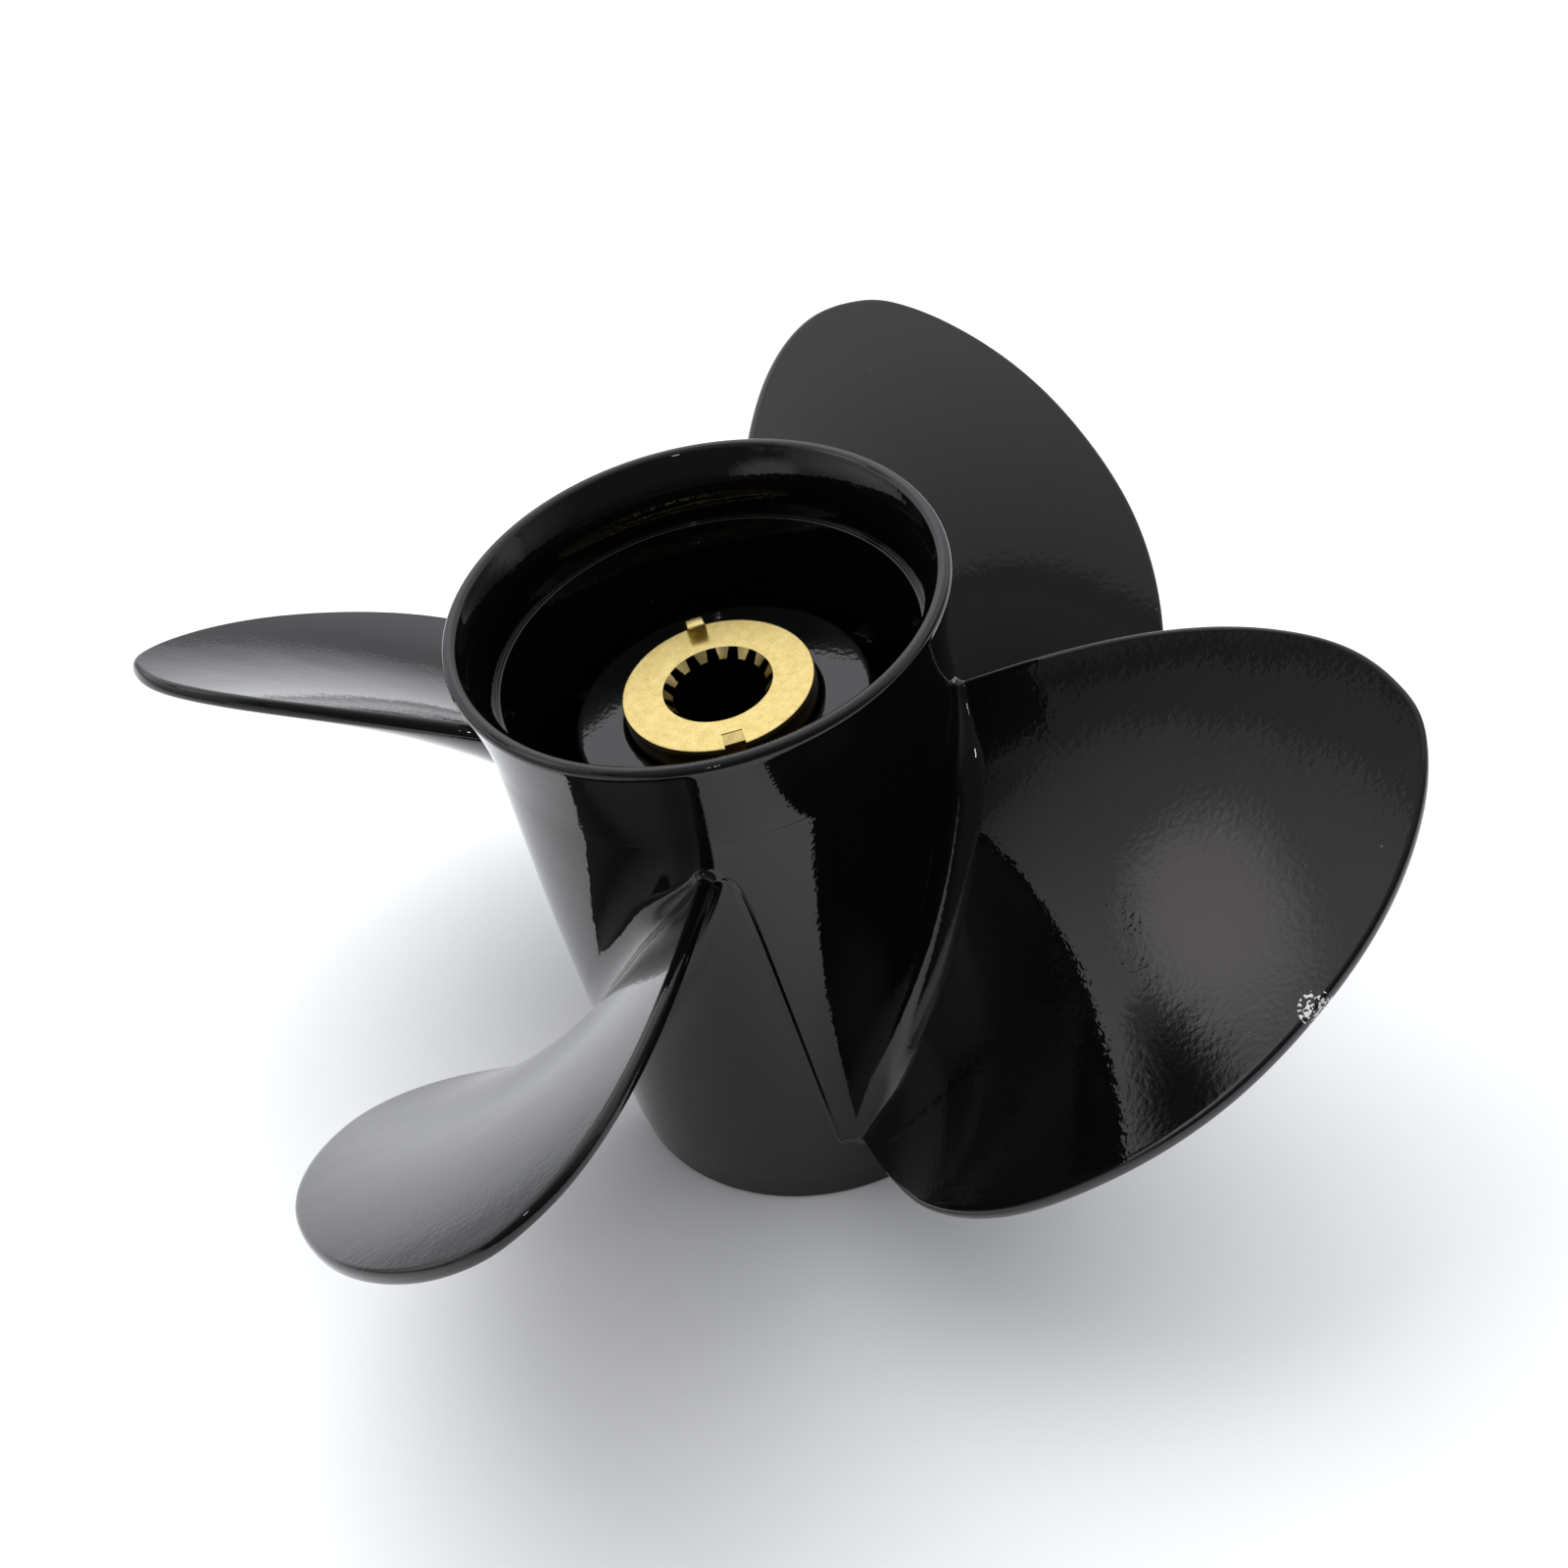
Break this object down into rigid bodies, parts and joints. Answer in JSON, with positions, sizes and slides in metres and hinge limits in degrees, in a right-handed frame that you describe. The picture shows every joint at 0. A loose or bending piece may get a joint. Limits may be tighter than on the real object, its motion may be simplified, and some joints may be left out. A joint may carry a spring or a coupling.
{
  "type": "outboard boat propeller",
  "caption": "Right-hand boat propeller with broad raked blades on a through-hub exhaust barrel with a flared rear rim, a rubber bush and a splined brass drive sleeve.",
  "frame": {"origin": "centre of the barrel's front end face, on the shaft line", "axes": "+Z along the shaft line towards the flared exhaust end; +X and +Y across it, one blade's trailing root about 14 degrees clockwise of +X seen from +Z"},
  "size_m": [0.2836, 0.2836, 0.1576],
  "materials": {
    "enamel": "gloss black enamel over cast aluminium",
    "brass": "as machined, fine-grained satin",
    "rubber": "matte"
  },
  "bodies": {
    "root": {"barrel": "enamel", "inner_hub": "enamel", "rib_1": "enamel", "rib_2": "enamel", "rib_3": "enamel", "rib_4": "enamel", "blade_1": "enamel", "blade_2": "enamel", "blade_3": "enamel", "blade_4": "enamel", "rubber_bush": "rubber", "splined_sleeve": "brass"}
  },
  "joints": []
}
